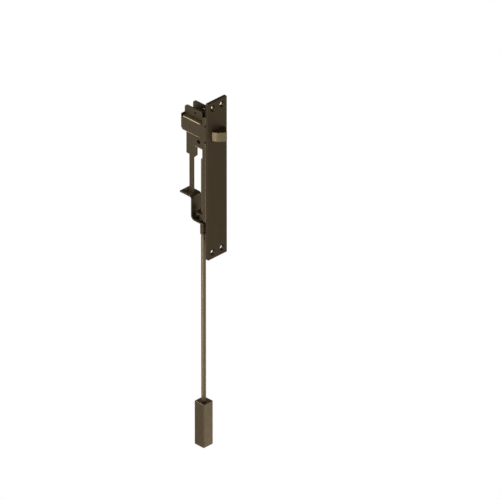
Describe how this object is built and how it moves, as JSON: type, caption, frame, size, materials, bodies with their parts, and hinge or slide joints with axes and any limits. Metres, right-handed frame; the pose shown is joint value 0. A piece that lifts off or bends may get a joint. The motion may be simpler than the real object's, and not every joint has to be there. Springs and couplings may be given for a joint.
{
  "type": "automatic flush bolt",
  "caption": "Edge-mounted automatic flush bolt: a sprung trigger in a narrow face plate turns a rocker that drives a rail, rod and square bolt out of the end of a door.",
  "frame": {"origin": "centre of the face plate's front face", "axes": "-Y out of the face plate's front, +Y into the door, +Z along the door's edge away from the bolt, X across the plate"},
  "size_m": [0.0254, 0.0543, 0.3877],
  "materials": {
    "plate_bronze": "dark bronze plate, satin",
    "sheet_bronze": "dark bronze pressed sheet, satin",
    "rod_bronze": "medium bronze on drawn bar, satin",
    "nose_bronze": "light bronze, smooth",
    "steel": "bright steel with light oil"
  },
  "bodies": {
    "case": {"face_plate": "plate_bronze", "frame_channel": "sheet_bronze", "carriage": "sheet_bronze", "ear_spacer_left_low": "steel", "ear_spacer_left_high": "steel", "ear_spacer_right_low": "steel", "ear_spacer_right_high": "steel", "ear_pin": "steel", "pivot_pin": "steel", "pivot_spacer": "steel", "return_spring": "steel"},
    "rocker": {"rocker_left": "sheet_bronze", "rocker_right": "sheet_bronze", "rocker_pin": "steel"},
    "trigger": {"trigger_nose": "nose_bronze", "trigger_slide": "sheet_bronze", "trigger_tongue": "sheet_bronze", "trigger_rivet_low": "steel", "trigger_rivet_high": "steel", "cam_pin": "steel"},
    "bolt": {"rail": "sheet_bronze", "guide_bracket": "sheet_bronze", "shelf_stud": "sheet_bronze", "rod": "rod_bronze", "rod_nut_lower": "steel", "rod_nut_upper": "steel", "stop_collar": "sheet_bronze", "bolt_head": "rod_bronze"}
  },
  "joints": [
    {"name": "bolt_slide", "type": "slide", "parent": "case", "child": "bolt", "axis": [0, 0, -1], "range_m": [0, 0.01905], "stiffness_N_per_m": 250, "springref_m": -0.02},
    {"name": "trigger_slide_in", "type": "slide", "parent": "case", "child": "trigger", "axis": [0, 1, 0], "range_m": [0, 0.008]},
    {"name": "rocker_turn", "type": "hinge", "parent": "case", "child": "rocker", "pos_m": [0, 0.0186, 0.043], "axis": [-1, 0, 0], "range_deg": [0, 75.9], "deforming": ["return_spring"]}
  ],
  "couplings": [
    {"joint": "trigger_slide_in", "follows": "bolt_slide", "ratio": 0.41994},
    {"joint": "rocker_turn", "follows": "bolt_slide", "rad_per_m": 69.48}
  ]
}
